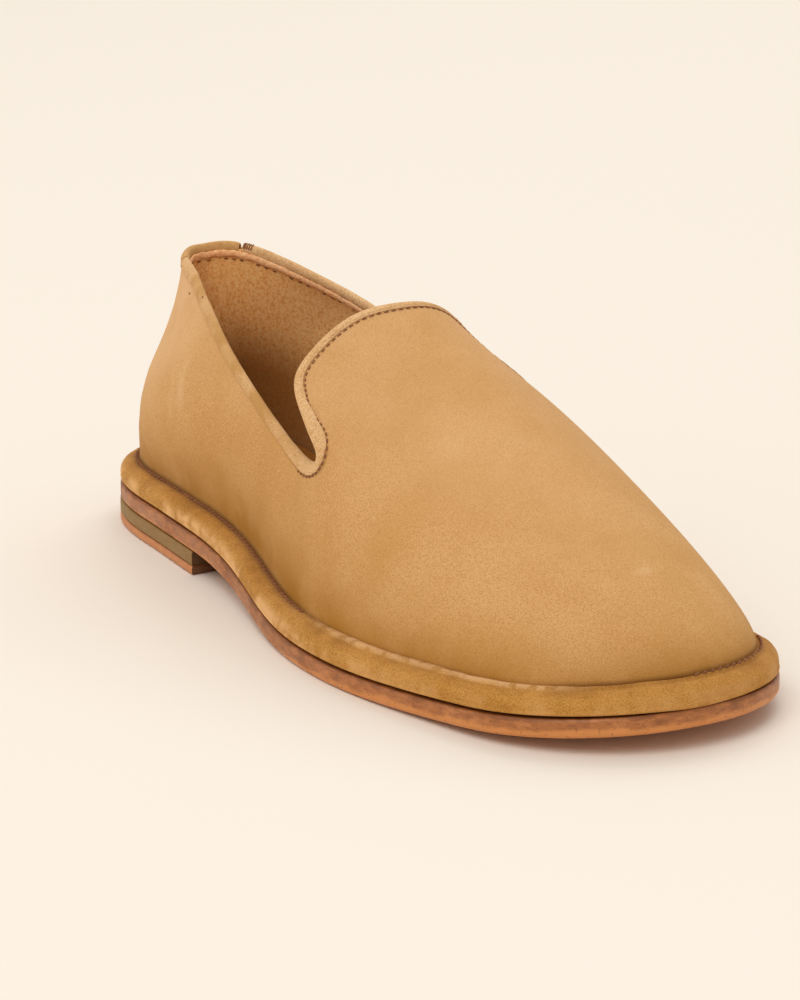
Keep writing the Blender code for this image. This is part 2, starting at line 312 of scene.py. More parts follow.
def paint(piece, name, values):
    """Keeps a value for each point, for the material to read."""
    layer = piece.data.attributes.new(name, "FLOAT", "POINT")
    layer.data.foreach_set("value", np.asarray(values, dtype=np.float32))


def painted(tree, name):
    """A painted value, read back in a material."""
    return add_node(tree, "ShaderNodeAttribute", attribute_name=name).outputs["Fac"]


outsole = copy_of("outsole", "outsole_leather")
round_edges(outsole, OUTSOLE_ROUNDING, 2, 30)
apply_modifier(outsole, "SUBSURF", levels=2, render_levels=2)
spots = points_of(outsole)
edge_height = (spots[:, 2] - sole_rise(spots[:, 0])) / OUTSOLE_THICKNESS
paint(outsole, "edge_height", edge_height)
paint(outsole, "worn_height", edge_height + np.interp(spots[:, 0], (0.0, 0.06), (0.26, 0.0)))
edge_leather, tree, shader = new_material("sole edge leather", Specular_IOR_Level=0.45)
place = object_place(tree)
height = painted(tree, "edge_height")
fibres = noise(tree, stretched(tree, place, (0.15, 0.15, 1.0)), 2400.0, 3.0)
pores = noise(tree, place, 1000.0, 2.0)
blotch = noise(tree, place, 90.0, 4.0)
uneven = between(tree, blotch, 0.3, 0.7, -0.12, 0.12)
gap_shade_height = calculate(tree, "ADD", height, uneven)
fibrous = between(tree, fibres, 0.35, 0.7, 0.0, 0.8)
body = mix_colours(tree, fibrous, srgb(178, 110, 56), srgb(146, 86, 42))
wear_and_highlight = noise(tree, stretched(tree, place, (0.5, 0.5, 1.0)), 420.0, 3.0)
body = mix_colours(tree, between(tree, wear_and_highlight, 0.5, 0.68, 0.0, 0.6), body, srgb(202, 132, 76))
body = mix_colours(tree, between(tree, wear_and_highlight, 0.46, 0.3, 0.0, 0.6), body, srgb(130, 76, 38))
worn = calculate(tree, "ADD", painted(tree, "worn_height"), uneven)
body = mix_colours(tree, between(tree, worn, 0.56, 0.26, 0.0, 0.8), body, srgb(218, 142, 74))
# Painted shade: the top of the edge is darker, under the midsole's overhang.
body = mix_colours(tree, between(tree, gap_shade_height, 0.82, 1.0, 0.0, 0.7), body, srgb(122, 72, 36))
body = mix_colours(tree, between(tree, pores, 0.6, 0.7, 0.0, 0.5), body, srgb(120, 68, 40))
tree.links.new(body, shader.inputs["Base Color"])
tree.links.new(between(tree, blotch, 0.3, 0.7, 0.32, 0.54), shader.inputs["Roughness"])
relief = calculate(tree, "SUBTRACT", fibres, between(tree, pores, 0.6, 0.75))
add_bump(tree, shader, relief, 0.3, 0.0002)
fit_piece(outsole, edge_leather, "outsole", "outsole")

# Covered midsole: a platform wrapped in the same suede as the upper. The suede is turned over
# its edge in a soft roll, a little dented from handling and mottled, and drawn in at the crease
# by the stitches that hold the upper. Its colour has pale patches low on the wrap that are both
# rubbed wear and painted highlight, painted shade along its top and in the crease, and a pale
# painted highlight along the roll's crown at the lateral forepart.
MIDSOLE_TOP = 12.6 * MM
ROLL_INSETS = (1.0 * MM, 1.0 * MM, 0.9 * MM)
ROLL_PLACES = (-0.15, -0.06, 0.0, 0.05, 0.15)
ROLL_HEIGHTS = (0.7 * MM, 0.7 * MM, 1.0 * MM, 1.7 * MM, 1.7 * MM)
CROWN_INSET = 1
DENT_SIZE = 12 * MM
DENT_DEPTH = 0.7 * MM
DENTS_START, DENTS_RUN = 1.0 * MM, 2.5 * MM
SEAT_SPREAD = 1.2 * MM
SEAT_DROP = 0.5 * MM
SEAT_END, SEAT_RUN = 2.2 * MM, 1.8 * MM


def suede_group():
    """Brushed nap: cloudy colour, patches where it lies another way, and fine grain."""
    group = bpy.data.node_groups.new("suede nap", "ShaderNodeTree")
    for name in ("Colour", "Light", "Dark"):
        group.interface.new_socket(name, in_out="INPUT", socket_type="NodeSocketColor")
    for name in ("Grain", "Mottle"):
        group.interface.new_socket(name, in_out="INPUT", socket_type="NodeSocketFloat")
    for name, kind in (("Colour", "Color"), ("Roughness", "Float"), ("Height", "Float")):
        group.interface.new_socket(name, in_out="OUTPUT", socket_type="NodeSocket" + kind)
    taken = group.nodes.new("NodeGroupInput")
    given = group.nodes.new("NodeGroupOutput")
    light, dark, mottle = taken.outputs["Light"], taken.outputs["Dark"], taken.outputs["Mottle"]
    place = object_place(group)
    sizing = {0: place, "Scale": taken.outputs["Grain"]}
    sized = add_node(group, "ShaderNodeVectorMath", sizing, operation="SCALE").outputs["Vector"]
    clouds = noise(group, place, 20.0, 2.0)
    patches = noise(group, place, 190.0, 4.0, 0.65)
    grain = noise(group, sized, 1500.0, 3.0, 0.7)
    hairs = noise(group, stretched(group, sized, (0.4, 1.0, 1.0), (0.4, 0.7, 0.3)), 2600.0, 2.0)
    cloudy = between(group, clouds, 0.38, 0.68, 0.0, 0.55)
    body = mix_colours(group, cloudy, taken.outputs["Colour"], light)
    darker = calculate(group, "MULTIPLY", between(group, patches, 0.5, 0.3), mottle)
    lighter = calculate(group, "MULTIPLY", between(group, patches, 0.52, 0.72), mottle)
    body = mix_colours(group, darker, body, dark)
    body = mix_colours(group, lighter, body, light)
    grainy = calculate(group, "MULTIPLY", grain, 0.6)
    hairy = calculate(group, "MULTIPLY", hairs, 0.4)
    speckle = calculate(group, "ADD", grainy, hairy)
    body = mix_colours(group, between(group, speckle, 0.52, 0.38, 0.0, 0.8), body, dark)
    body = mix_colours(group, between(group, speckle, 0.5, 0.64, 0.0, 0.8), body, light)
    group.links.new(body, given.inputs["Colour"])
    group.links.new(between(group, grain, 0.3, 0.7, 0.84, 0.98), given.inputs["Roughness"])
    raised = calculate(group, "ADD", speckle, calculate(group, "MULTIPLY", patches, 0.4))
    group.links.new(raised, given.inputs["Height"])
    return group


SUEDE_NAP = suede_group()


def suede(name, colour, light, dark, grain=1.4, mottle=0.12, depth=0.0002, sheen=0.15):
    """A suede, with its shader, its node group and its bump left open to more."""
    material, tree, shader = new_material(
        name,
        Specular_IOR_Level=0.12,
        Sheen_Weight=sheen,
        Sheen_Roughness=0.5,
        Sheen_Tint=srgb(255, 226, 186),
    )
    nap = add_node(tree, "ShaderNodeGroup", node_tree=SUEDE_NAP)
    for socket, value in (("Colour", colour), ("Light", light), ("Dark", dark)):
        nap.inputs[socket].default_value = srgb(*value)
    nap.inputs["Grain"].default_value = grain
    nap.inputs["Mottle"].default_value = mottle
    bump = add_bump(tree, shader, nap.outputs["Height"], 0.5, depth)
    tree.links.new(nap.outputs["Colour"], shader.inputs["Base Color"])
    tree.links.new(nap.outputs["Roughness"], shader.inputs["Roughness"])
    return material, tree, shader, nap, bump


def roll_height(x):
    """How far the roll beside the crease stands over the midsole's top, before it is smoothed."""
    return np.interp(x, ROLL_PLACES, ROLL_HEIGHTS)


def pick_none(mesh):
    """Leaves nothing of a mesh selected."""
    for element in (*mesh.vertices, *mesh.edges, *mesh.polygons):
        element.select = False


def nearest_among(spots):
    """A tree that finds the nearest of some places."""
    tree = KDTree(len(spots))
    for index, spot in enumerate(spots):
        tree.insert(spot, index)
    tree.balance()
    return tree


midsole = copy_of("covered_midsole", "midsole_wrap")
pick_none(midsole.data)
for face in midsole.data.polygons:
    over = face.center.z - sole_rise(face.center.x)
    face.select = bool(face.normal.z > 0.9 and over > MIDSOLE_TOP - 0.3 * MM)
bpy.ops.object.mode_set(mode="EDIT")
bpy.ops.mesh.select_mode(type="FACE")
for count, inset in enumerate(ROLL_INSETS):
    bpy.ops.mesh.inset(thickness=inset, use_boundary=True, use_even_offset=True)
    if count == CROWN_INSET:
        bpy.ops.object.mode_set(mode="OBJECT")
        inner, outer = set(), set()
        for face in midsole.data.polygons:
            (inner if face.select else outer).update(face.vertices)
        rolled = [midsole.data.vertices[index].co.copy() for index in sorted(inner & outer)]
        bpy.ops.object.mode_set(mode="EDIT")
bpy.ops.object.mode_set(mode="OBJECT")
crown = nearest_among(rolled)
for point in midsole.data.vertices:
    if crown.find(point.co)[2] < 0.01 * MM:
        point.co.z += roll_height(point.co.x)
apply_modifier(midsole, "SUBSURF", levels=3, render_levels=3)
spots = points_of(midsole)
over = spots[:, 2] - sole_rise(spots[:, 0])
dented = midsole.vertex_groups.new(name="dented")
softness = np.clip((over - OUTSOLE_THICKNESS - DENTS_START) / DENTS_RUN, 0, 1)
for index, share in enumerate(softness):
    dented.add([index], float(share), "REPLACE")
dents = bpy.data.textures.new("midsole dents", "CLOUDS")
dents.noise_scale = DENT_SIZE
dents.noise_depth = 1
apply_modifier(
    midsole,
    "DISPLACE",
    texture=dents,
    texture_coords="LOCAL",
    strength=DENT_DEPTH,
    mid_level=0.5,
    vertex_group="dented",
)
paint(midsole, "wrap_height", (over - OUTSOLE_THICKNESS) / (MIDSOLE_TOP - OUTSOLE_THICKNESS))
spots, facing = points_of(midsole), normals_of(midsole)
seated = np.clip((OUTSOLE_THICKNESS + SEAT_END - over) / SEAT_RUN, 0, 1)
facing[:, 2] = 0
spots += facing * (SEAT_SPREAD * seated)[:, None]
spots[:, 2] -= SEAT_DROP * seated
set_points(midsole, spots)
wrap_suede, tree, shader, nap, _ = suede(
    "midsole suede", (184, 128, 56), (208, 154, 84), (152, 100, 38), mottle=0.4
)
place = object_place(tree)
level = painted(tree, "wrap_height")
# Pale patches low on the wrap, strongest at the waist and heel: rubbed wear and painted highlight
# on the lower roundness together.
highlight_and_shade_patches = noise(tree, place, 75.0, 3.0)
low, patchy = between(tree, level, 0.9, 0.45), between(tree, highlight_and_shade_patches, 0.42, 0.6)
wear_and_highlight = calculate(tree, "MULTIPLY", low, patchy)
wear_and_highlight = calculate(tree, "MULTIPLY", wear_and_highlight, painted(tree, "wear_and_highlight"))
body = mix_colours(tree, wear_and_highlight, nap.outputs["Colour"], srgb(232, 182, 122))
# Painted shade: darker patches along the top of the wrap, under the upper.
high, patchy = between(tree, level, 0.7, 1.0), between(tree, highlight_and_shade_patches, 0.6, 0.35, 0.0, 0.5)
body = mix_colours(tree, calculate(tree, "MULTIPLY", high, patchy), body, srgb(146, 98, 42))
# Painted shade in the crease, close to where the upper meets the midsole.
from_crease = painted(tree, "from_crease")
sunk = between(tree, from_crease, 2.9, 1.1, 0.0, 0.7)
sunk = calculate(tree, "MULTIPLY", sunk, painted(tree, "crease_strength"))
body = mix_colours(tree, sunk, body, srgb(112, 66, 34))
# Painted highlight: a pale, broken line along the roll's crown on the lateral forepart.
past, short = between(tree, from_crease, 0.4, 0.9), between(tree, from_crease, 2.8, 1.4)
ridge_highlight = calculate(tree, "MULTIPLY", past, short)
broken = between(tree, noise(tree, place, 320.0, 2.0), 0.36, 0.56, 0.25, 1.0)
ridge_highlight = calculate(tree, "MULTIPLY", ridge_highlight, broken)
ridge_highlight = calculate(tree, "MULTIPLY", ridge_highlight, painted(tree, "painted_ridge_highlight"))
body = mix_colours(tree, ridge_highlight, body, srgb(236, 192, 142))
fore = between(tree, painted(tree, "wear_and_highlight"), 0.9, 0.3, 0.0, 0.1)
body = mix_colours(tree, fore, body, srgb(172, 112, 30))
tree.links.new(body, shader.inputs["Base Color"])
fit_piece(midsole, wrap_suede, "covered_midsole", "covered_midsole")

# Insole: a smooth tan leather sock over a board, laid inside on the midsole. It shows through
# the collar, darker where it is worn.
insole = copy_of("insole", "insole_sock")
apply_modifier(insole, "SUBSURF", levels=2, render_levels=2)
sock_leather, tree, shader = new_material("sock leather", Specular_IOR_Level=0.35)
place = object_place(tree)
creases = noise(tree, place, 260.0, 4.0)
worn = noise(tree, place, 22.0, 2.0)
body = mix_colours(tree, between(tree, worn, 0.35, 0.7), srgb(168, 112, 46), srgb(140, 88, 32))
body = mix_colours(tree, between(tree, creases, 0.55, 0.75, 0.0, 0.4), body, srgb(112, 68, 28))
tree.links.new(body, shader.inputs["Base Color"])
tree.links.new(between(tree, creases, 0.3, 0.7, 0.5, 0.7), shader.inputs["Roughness"])
add_bump(tree, shader, creases, 0.3, 0.0002)
fit_piece(insole, sock_leather, "insole", "insole")

# Upper: one piece of tan suede pulled over a last, sewn at the medial quarter and turned in at
# the midsole. It is darker along the midsole, where it was burnished, and the side is drawn
# into a few soft hollows between the collar and the sole.
# Painted highlight makes the suede paler towards the top and high on the lateral heel quarter;
# painted shade darkens the crease at its foot.
BURNISH_PLACES = (-0.14, -0.09, -0.05, 0.0, 0.04, 0.09, 0.14)
BURNISH_REACH = (11 * MM, 13 * MM, 17 * MM, 17 * MM, 13 * MM, 10 * MM, 9 * MM)
BURNISH_STRENGTH = (0.8, 0.9, 1.1, 1.15, 0.95, 0.75, 0.75)
SOFT_CREASES = (
    ((-0.110, -0.036, 0.058), (-0.055, -0.041, 0.040), 7 * MM, -0.7 * MM),
    ((-0.078, -0.037, 0.030), (-0.020, -0.044, 0.024), 8 * MM, -0.9 * MM),
    ((-0.056, -0.042, 0.044), (-0.022, -0.046, 0.036), 6 * MM, 0.6 * MM),
    ((-0.030, -0.045, 0.046), (-0.002, -0.047, 0.030), 6 * MM, -0.5 * MM),
    ((-0.070, 0.040, 0.036), (-0.015, 0.046, 0.030), 8 * MM, -0.7 * MM),
    ((-0.100, 0.036, 0.055), (-0.060, 0.041, 0.046), 7 * MM, 0.5 * MM),
)
CREASES_KEEP_OFF_TOP, CREASES_KEEP_OFF_FOOT = 6 * MM, 4 * MM
TURN_DOWN, TURN_REACH = 1.0 * MM, 1.6 * MM
UPPER_WALL = 0.9 * MM
SIDE_SEAM = -0.112
SCUFFS = (
    ((-0.080, -0.0295, 0.057), (3.5 * MM, 8 * MM, 11 * MM), 0.38),
    ((-0.087, -0.027, 0.050), (3 * MM, 8 * MM, 8 * MM), 0.25),
    ((0.1116, 0.0071, 0.0399), (2.2 * MM, 5 * MM, 2.2 * MM), 0.4),
)
HEEL_MIDDLE = np.array((-0.095, 0.003))
HEEL_INWARD = np.array((0.547, 0.837, 0.0))
HEEL_DRAWN_IN = (
    (20 * MM, 0.0),
    (24 * MM, -0.2 * MM),
    (32 * MM, -1.2 * MM),
    (42 * MM, -1.5 * MM),
    (52 * MM, -0.9 * MM),
    (63 * MM, 0.5 * MM),
    (73 * MM, 1.6 * MM),
    (82 * MM, 2.2 * MM),
    (92 * MM, 2.3 * MM),
)
COLLAR_DROP = 2.3 * MM
# Where the drop starts along an axis, and how much further on it is full
DROP_ASIDE, DROP_BEHIND, DROP_ABOVE = (1, 0.006, -0.012), (0, -0.068, -0.032), (2, 0.052, 0.030)
# Where the painted highlight lies and how strong it is: a patch high on the lateral heel quarter,
# and a crest that grows paler away from the foot
PALE_HEEL, PALE_REACH, HEEL_PALENESS = (-0.112, -0.020, 0.068), 24 * MM, 0.42
CREST_START, CREST_RUN, CREST_PALENESS = 28 * MM, 34 * MM, 0.22
SEAM_FADE_START, SEAM_FADE_RUN, MEDIAL_SEAM_STRENGTH = -0.012, 0.01, 0.7
# A place on the lateral edge, how much wider the strip is there and how flat it is, in mm
STRIP_WIDTHS = (
    ((-10.8, -4.7, 90.0), -1.4, 0.0),
    ((-12.5, -18.4, 82.8), -1.4, 0.0),
    ((-12.1, -25.7, 76.7), -1.4, 0.0),
    ((-6.2, -31.2, 71.2), -1.3, 0.0),
    ((2.1, -34.5, 67.7), -1.9, 0.0),
    ((7.8, -36.2, 65.3), -2.1, 0.0),
    ((10.2, -36.6, 63.9), -1.9, 0.0),
    ((12.5, -36.8, 61.8), -1.0, 0.0),
    ((13.7, -36.7, 59.3), 0.2, 0.0),
    ((13.2, -36.3, 56.2), 1.7, 0.0),
    ((11.2, -35.9, 53.8), 1.0, 0.0),
    ((8.6, -35.4, 52.1), 0.3, 0.0),
    ((3.0, -34.5, 51.0), -0.1, 0.1),
    ((-4.3, -33.4, 52.0), -0.4, 0.4),
    ((-13.4, -32.2, 54.8), -0.7, 0.8),
    ((-31.0, -30.3, 61.8), -0.8, 1.0),
    ((-60.0, -25.8, 74.2), -0.8, 1.0),
    ((-89.0, -16.1, 81.9), -0.8, 1.0),
    ((-116.0, -6.2, 86.0), -0.5, 0.2),
)
STRIP_REACH, STRIP_FAR_SHARE = 4.5, 0.0001
THROAT_PULLS = (
    ((0.0106, -0.0374, 0.0585), (3.2 * MM, 0.0, 0.8 * MM), 8 * MM),
    ((-0.0080, -0.0280, 0.0760), (-2.6 * MM, 0.0, -0.7 * MM), 9 * MM),
)


def keep_skin(piece, seed):
    """Keeps the faces that run smoothly on from the one nearest a point."""
    pick_none(piece.data)
    nearest = min(piece.data.polygons, key=lambda face: (face.center - seed).length)
    nearest.select = True
    bpy.context.view_layer.objects.active = piece
    bpy.ops.object.mode_set(mode="EDIT")
    bpy.ops.mesh.select_mode(type="FACE")
    bpy.ops.mesh.faces_select_linked_flat(sharpness=math.radians(50))
    bpy.ops.mesh.select_all(action="INVERT")
    bpy.ops.mesh.delete(type="FACE")
    bpy.ops.object.mode_set(mode="OBJECT")


def rims(piece):
    """The open edges of a piece as closed loops of point numbers, the lowest first."""
    shape = bmesh.new()
    shape.from_mesh(piece.data)
    waiting = {edge.index: edge for edge in shape.edges if edge.is_boundary}
    loops = []
    while waiting:
        first, last = waiting.pop(min(waiting)).verts
        loop = [first]
        while last != first:
            loop.append(last)
            ahead = [edge for edge in last.link_edges if edge.index in waiting][0]
            del waiting[ahead.index]
            last = ahead.other_vert(last)
        loops.append(loop)
    loops.sort(key=lambda loop: sum(point.co.z for point in loop) / len(loop))
    numbered = [[point.index for point in loop] for loop in loops]
    shape.free()
    return numbered


def skin_of(points, piece):
    """A tree that finds places on the faces of a piece, with its points at the places given."""
    faces = [tuple(face.vertices) for face in piece.data.polygons]
    return BVHTree.FromPolygons([Vector(spot) for spot in points], faces)


def distance_to(points, line):
    """How far each point is from a closed line of points."""
    dense = []
    for start, end in zip(line, np.roll(line, -1, axis=0)):
        for share in (0.0, 0.25, 0.5, 0.75):
            dense.append(start + (end - start) * share)
    tree = nearest_among(dense)
    return np.array([tree.find(spot)[2] for spot in points])


def distance_to_segment(points, start, end):
    """How far each point is from a straight piece of line."""
    start, end = np.array(start), np.array(end)
    way = end - start
    share = np.clip((points - start) @ way / (way @ way), 0, 1)
    return np.linalg.norm(points - start - share[:, None] * way, axis=1)


def moulded(points):
    """The heel's lateral quarter full at the seat and drawn in at the collar, the throat hooked."""
    around = points[:, :2] - HEEL_MIDDLE
    around /= np.linalg.norm(around, axis=1)[:, None]
    share = np.clip(-around @ HEEL_INWARD[:2], 0, 1) ** 1.5
    drawn_in = share * np.interp(points[:, 2], *zip(*HEEL_DRAWN_IN))
    shaped = points + HEEL_INWARD * drawn_in[:, None]
    aside, behind, dropped = (
        np.clip((points[:, axis] - start) / run, 0, 1)
        for axis, start, run in (DROP_ASIDE, DROP_BEHIND, DROP_ABOVE)
    )
    for part in (aside, behind):
        dropped = dropped * part * part * (3 - 2 * part)
    shaped[:, 2] -= COLLAR_DROP * dropped
    for centre, shift, reach in THROAT_PULLS:
        far = np.linalg.norm(points - np.array(centre), axis=1)
        shaped += np.array(shift) * np.exp(-((far / reach) ** 2))[:, None]
    return shaped


def strip_shape(points):
    """How much wider than usual the binding is at each place, and how flat it is pressed."""
    mirrored = np.column_stack([points[:, 0], -np.abs(points[:, 1]), points[:, 2]])
    near, wider, flat = 0.0, 0.0, 0.0
    for place, change, pressed in STRIP_WIDTHS:
        far = np.linalg.norm(mirrored / MM - np.array(place), axis=1)
        weight = np.exp(-((far / STRIP_REACH) ** 2)) + STRIP_FAR_SHARE / (1 + far**2)
        near = near + weight
        wider = wider + weight * change * MM
        flat = flat + weight * pressed
    return wider / near, flat / near


upper = copy_of("upper", "upper_suede")
keep_skin(upper, Vector((0.2, 0.0, 0.03)))
apply_modifier(upper, "SUBSURF", levels=2, render_levels=2)
foot_rim, top_rim = rims(upper)
skin = moulded(points_of(upper))
set_points(upper, skin)
foot_line, top_line = skin[foot_rim], skin[top_rim]
from_foot = distance_to(skin, foot_line)
from_top = distance_to(skin, top_line)
held = np.clip(from_top / CREASES_KEEP_OFF_TOP, 0, 1)
held = held * np.clip(from_foot / CREASES_KEEP_OFF_FOOT, 0, 1)
lift = np.zeros(len(skin))
for start, end, width, depth in SOFT_CREASES:
    lift += depth * np.exp(-((distance_to_segment(skin, start, end) / width) ** 2))
skin += normals_of(upper) * (lift * held)[:, None]
skin[:, 2] -= TURN_DOWN * np.exp(-((from_foot / TURN_REACH) ** 2))
set_points(upper, skin)
reach = np.interp(skin[:, 0], BURNISH_PLACES, BURNISH_REACH)
strength = np.interp(skin[:, 0], BURNISH_PLACES, BURNISH_STRENGTH)
paint(upper, "burnish", np.minimum(strength * np.exp(-((from_foot / reach) ** 1.5)), 1.0))
paint(upper, "from_foot", from_foot / MM)
paint(upper, "from_top", (from_top - strip_shape(skin)[0]) / MM)
# How strong the painted crease shade is: weaker along the lateral forepart.
fore = np.interp(skin[:, 0], (0.0, 0.03, 0.118, 0.134), (1.0, 0.4, 0.4, 1.5))
paint(upper, "crease_strength", np.where(skin[:, 1] < 0, fore, 1.0))
# Painted highlight: paler towards the top of the vamp and collar, and in a patch high on the
# lateral heel quarter.
crest = CREST_PALENESS * np.clip((from_foot - CREST_START) / CREST_RUN, 0, 1)
from_pale = np.linalg.norm(skin - PALE_HEEL, axis=1)
paint(upper, "painted_highlight", crest + HEEL_PALENESS * np.exp(-((from_pale / PALE_REACH) ** 2)))
seamed = np.clip((skin[:, 0] - SEAM_FADE_START) / SEAM_FADE_RUN, 0, 1)
paint(upper, "seam_strength", np.where(skin[:, 1] > 0, MEDIAL_SEAM_STRENGTH, seamed))
outer_skin = skin_of(skin, upper)
apply_modifier(upper, "SOLIDIFY", thickness=UPPER_WALL, offset=-1.0)
body_suede, tree, shader, nap, bump = suede(
    "upper suede", (206, 155, 95), (222, 176, 120), (182, 131, 72)
)
place = object_place(tree)
drift = noise(tree, place, 60.0, 3.0)
drifting = between(tree, drift, 0.25, 0.7, 0.6, 1.0)
burnish = calculate(tree, "MULTIPLY", painted(tree, "burnish"), drifting)
golden = between(tree, noise(tree, place, 34.0, 3.0), 0.42, 0.68, 0.0, 0.36)
body = mix_colours(tree, golden, nap.outputs["Colour"], srgb(192, 140, 70))
# The painted highlight, broken up by the drift pattern.
drifting = between(tree, drift, 0.25, 0.7, 0.7, 1.25)
painted_highlight = calculate(tree, "MULTIPLY", painted(tree, "painted_highlight"), drifting)
body = mix_colours(tree, painted_highlight, body, srgb(236, 192, 146))
body = mix_colours(tree, burnish, body, srgb(160, 106, 24))
# Painted shade in the crease at the foot of the upper, over the midsole.
crease_shade = between(tree, painted(tree, "from_foot"), 2.2, 0.4, 0.0, 0.6)
crease_shade = calculate(tree, "MULTIPLY", crease_shade, painted(tree, "crease_strength"))
body = mix_colours(tree, crease_shade, body, srgb(112, 66, 24))
sewn = between(tree, painted(tree, "from_top"), 3.5, 2.7)
strength = between(tree, painted(tree, "seam_strength"), 0.0, 1.0, 0.15, 0.45)
sewn = calculate(tree, "MULTIPLY", sewn, strength)
body = mix_colours(tree, sewn, body, srgb(146, 96, 46))
axes = add_node(tree, "ShaderNodeSeparateXYZ", {0: place}).outputs
aside = calculate(tree, "ABSOLUTE", calculate(tree, "SUBTRACT", axes["X"], SIDE_SEAM))
medial = between(tree, axes["Y"], 0.0, MM)
joined = calculate(tree, "MULTIPLY", between(tree, aside, 0.9 * MM, 0.2 * MM), medial)
body = mix_colours(tree, calculate(tree, "MULTIPLY", joined, 0.6), body, srgb(130, 84, 40))
for centre, spread, strength in SCUFFS:
    shift = tuple(-middle / size for middle, size in zip(centre, spread))
    scale = tuple(1 / size for size in spread)
    moved = {"Vector": place, "Location": shift, "Scale": scale}
    near = add_node(tree, "ShaderNodeMapping", moved).outputs["Vector"]
    far = add_node(tree, "ShaderNodeVectorMath", {0: near}, operation="LENGTH").outputs["Value"]
    faded = between(tree, far, 1.0, 0.2, 0.0, strength)
    wear_and_highlight = calculate(tree, "MULTIPLY", faded, between(tree, drift, 0.3, 0.6))
    body = mix_colours(tree, wear_and_highlight, body, srgb(228, 192, 146))
tree.links.new(body, shader.inputs["Base Color"])
sunk = calculate(tree, "MULTIPLY", joined, 1.5)
height = calculate(tree, "SUBTRACT", nap.outputs["Height"], sunk)
tree.links.new(height, bump.inputs["Height"])
fit_piece(upper, body_suede, "upper", "upper")

# Linings: hairy peach suede round the heel, and smooth tan leather under the vamp. The heel
# lining lies over the other and is sewn to it with a zigzag.
LINING_JOIN, LINING_LEVEL = -0.040, 0.06
LINING_SLOPE = 0.18
LINING_OVERLAP = 4 * MM
VAMP_WALL, HEEL_WALL = 0.5 * MM, 0.6 * MM
HEEL_STAND = 0.45 * MM
lining = copy_of("upper", "vamp_lining")
keep_skin(lining, Vector((0.05, 0.0, 0.03)))
apply_modifier(lining, "SUBSURF", levels=2, render_levels=2)
inside = moulded(points_of(lining))
set_points(lining, inside)
inner_top_line = inside[rims(lining)[-1]]
below_edge = distance_to(inside, inner_top_line)
inner_skin = skin_of(inside, lining)
paint(lining, "below_edge", below_edge / MM)
heel_lining = bpy.data.objects.new("heel_lining", lining.data.copy())
bpy.context.scene.collection.objects.link(heel_lining)
for piece, keeps_front in ((lining, True), (heel_lining, False)):
    select_only(piece)
    bpy.ops.object.mode_set(mode="EDIT")
    bpy.ops.mesh.select_all(action="SELECT")
    bpy.ops.mesh.bisect(
        plane_co=(LINING_JOIN - (LINING_OVERLAP if keeps_front else 0.0), 0, LINING_LEVEL),
        plane_no=(1, 0, LINING_SLOPE),
        clear_inner=keeps_front,
        clear_outer=not keeps_front,
    )
    bpy.ops.object.mode_set(mode="OBJECT")
set_points(heel_lining, points_of(heel_lining) + normals_of(heel_lining) * HEEL_STAND)
apply_modifier(lining, "SOLIDIFY", thickness=VAMP_WALL, offset=-1.0)
apply_modifier(heel_lining, "SOLIDIFY", thickness=HEEL_WALL, offset=-1.0)
heel_suede, tree, shader, nap, bump = suede(
    "lining suede",
    (255, 198, 124),
    (255, 220, 156),
    (228, 154, 84),
    grain=0.6,
    depth=0.0004,
    sheen=0.3,
)
place = object_place(tree)
hairs = noise(tree, stretched(tree, place, (1.0, 1.0, 0.3), (0.5, 0.7, 0.0)), 1100.0, 3.0, 0.7)
crossed = noise(tree, stretched(tree, place, (1.0, 1.0, 0.3), (-0.4, -1.0, 0.0)), 1100.0, 3.0, 0.7)
hairs = calculate(tree, "MAXIMUM", hairs, crossed)
lit = between(tree, hairs, 0.56, 0.72, 0.0, 0.75)
body = mix_colours(tree, lit, nap.outputs["Colour"], srgb(255, 218, 156))
body = mix_colours(tree, between(tree, hairs, 0.54, 0.4, 0.0, 0.34), body, srgb(206, 132, 60))
# Painted shade: darker deeper inside the shoe, further below the collar's edge.
deep_shade = between(tree, painted(tree, "below_edge"), 19.0, 44.0, 0.0, 0.85)
body = mix_colours(tree, deep_shade, body, srgb(142, 88, 18))
tree.links.new(body, shader.inputs["Base Color"])
height = calculate(tree, "ADD", nap.outputs["Height"], hairs)
tree.links.new(height, bump.inputs["Height"])
fit_piece(heel_lining, heel_suede, "upper", "upper")
vamp_leather, tree, shader = new_material("lining leather", Specular_IOR_Level=0.35)
place = object_place(tree)
grain = noise(tree, place, 600.0, 3.0)
shade = noise(tree, place, 30.0, 2.0)
body = mix_colours(tree, between(tree, shade, 0.35, 0.7), srgb(168, 110, 34), srgb(146, 92, 26))
body = mix_colours(tree, between(tree, grain, 0.5, 0.75, 0.0, 0.4), body, srgb(124, 74, 30))
tree.links.new(body, shader.inputs["Base Color"])
tree.links.new(between(tree, grain, 0.3, 0.7, 0.5, 0.7), shader.inputs["Roughness"])
add_bump(tree, shader, grain, 0.25, 0.0002)
fit_piece(lining, vamp_leather, "upper", "upper")

# Lining edge: the raw cut edge of the heel lining, a pale strip that is left showing under the
# inner leg of the binding. It is trimmed by hand, so its lower side wanders.
EDGE_DEPTHS = (0.4 * MM, 1.2 * MM, 2.1 * MM, 2.8 * MM)
EDGE_STANDS = (0.8 * MM, 1.2 * MM, 1.15 * MM, 0.75 * MM)
EDGE_PITCH = 1.6 * MM
EDGE_THICKNESS = 0.35 * MM
EDGE_WANDER = 0.45 * MM
FRAY_SIZE, FRAY_DEPTH = 1.8 * MM, 0.4 * MM


